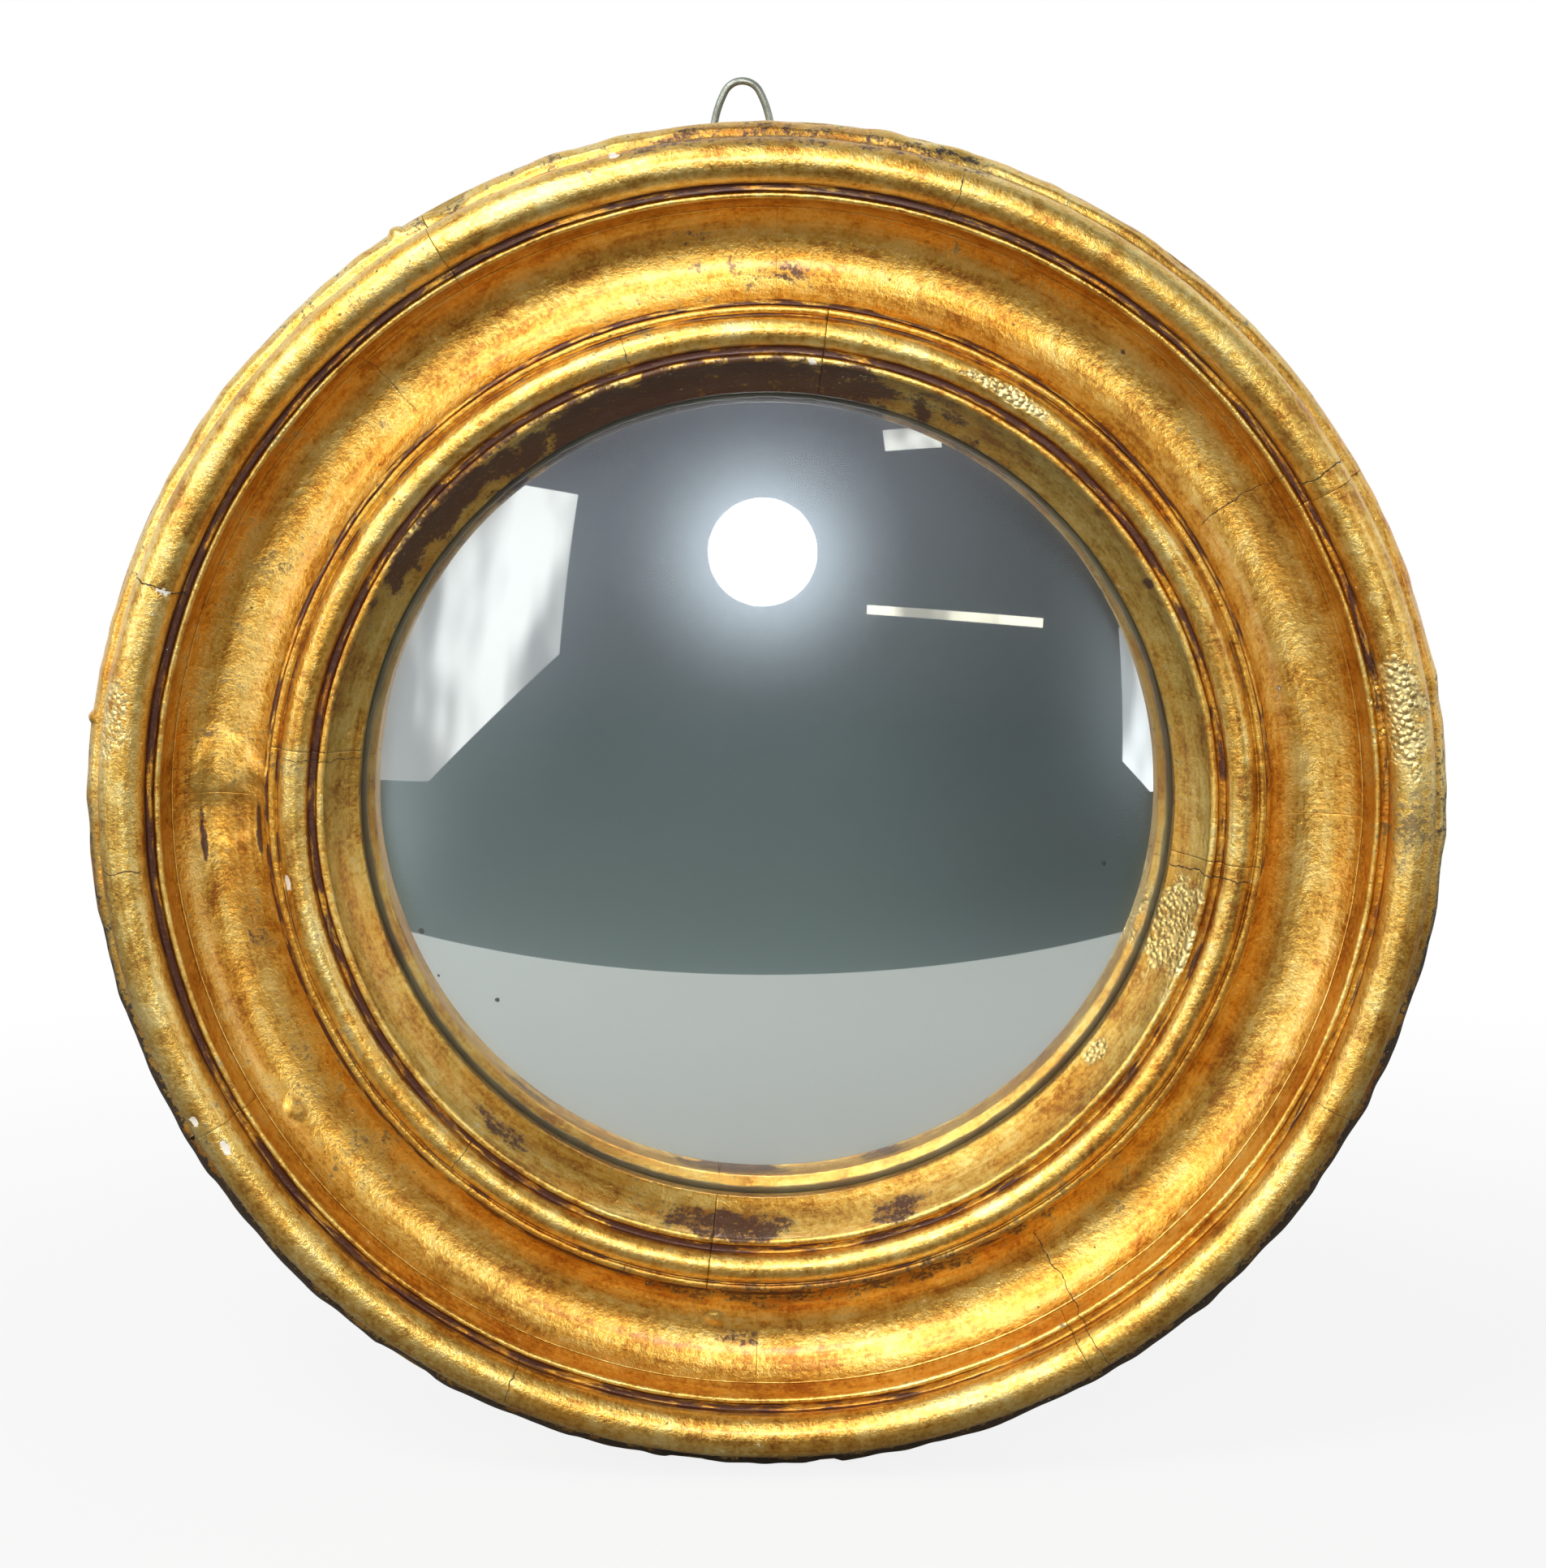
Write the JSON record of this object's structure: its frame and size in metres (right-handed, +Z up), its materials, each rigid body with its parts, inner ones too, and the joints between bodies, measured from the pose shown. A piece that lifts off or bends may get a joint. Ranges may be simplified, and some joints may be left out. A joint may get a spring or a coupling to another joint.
{
  "type": "convex wall mirror",
  "caption": "Round turned giltwood frame with a large outer bead, wide cove and small inner bead round a bulging silvered glass, hung by a hinged wire ring.",
  "frame": {"origin": "centre of the frame's flat back, where the mirror's axis meets the wall", "axes": "+Z up, -Y out of the front of the mirror, +X to the right as seen from the front"},
  "size_m": [0.35, 0.0413, 0.3609],
  "materials": {
    "gilt_wood": "worn water gilding over red bole",
    "silvered_glass": "silvered on the back",
    "bare_wood": "old bare softwood",
    "iron": "dark iron",
    "hanger_steel": "dull steel sheet",
    "galvanised_wire": "dull zinc"
  },
  "bodies": {
    "frame": {"front_ring_right": "gilt_wood", "front_ring_bottom": "gilt_wood", "front_ring_left": "gilt_wood", "front_ring_top": "gilt_wood", "back_ring_upper_right": "gilt_wood", "back_ring_lower_right": "gilt_wood", "back_ring_lower_left": "gilt_wood", "back_ring_upper_left": "gilt_wood", "slip_upper_right": "gilt_wood", "slip_lower_right": "gilt_wood", "slip_lower_left": "gilt_wood", "slip_upper_left": "gilt_wood", "convex_glass": "silvered_glass", "backboard": "bare_wood", "board_brads": "iron", "slip_pins": "iron", "hanger_strap": "hanger_steel", "hanger_screws": "iron"},
    "hanging_ring": {"hanging_ring": "galvanised_wire"}
  },
  "joints": [
    {"name": "hanging_ring_hinge", "type": "hinge", "parent": "frame", "child": "hanging_ring", "pos_m": [-0.0063, 0.00175, 0.157], "axis": [-1, 0, 0], "range_deg": [0, 183]}
  ]
}
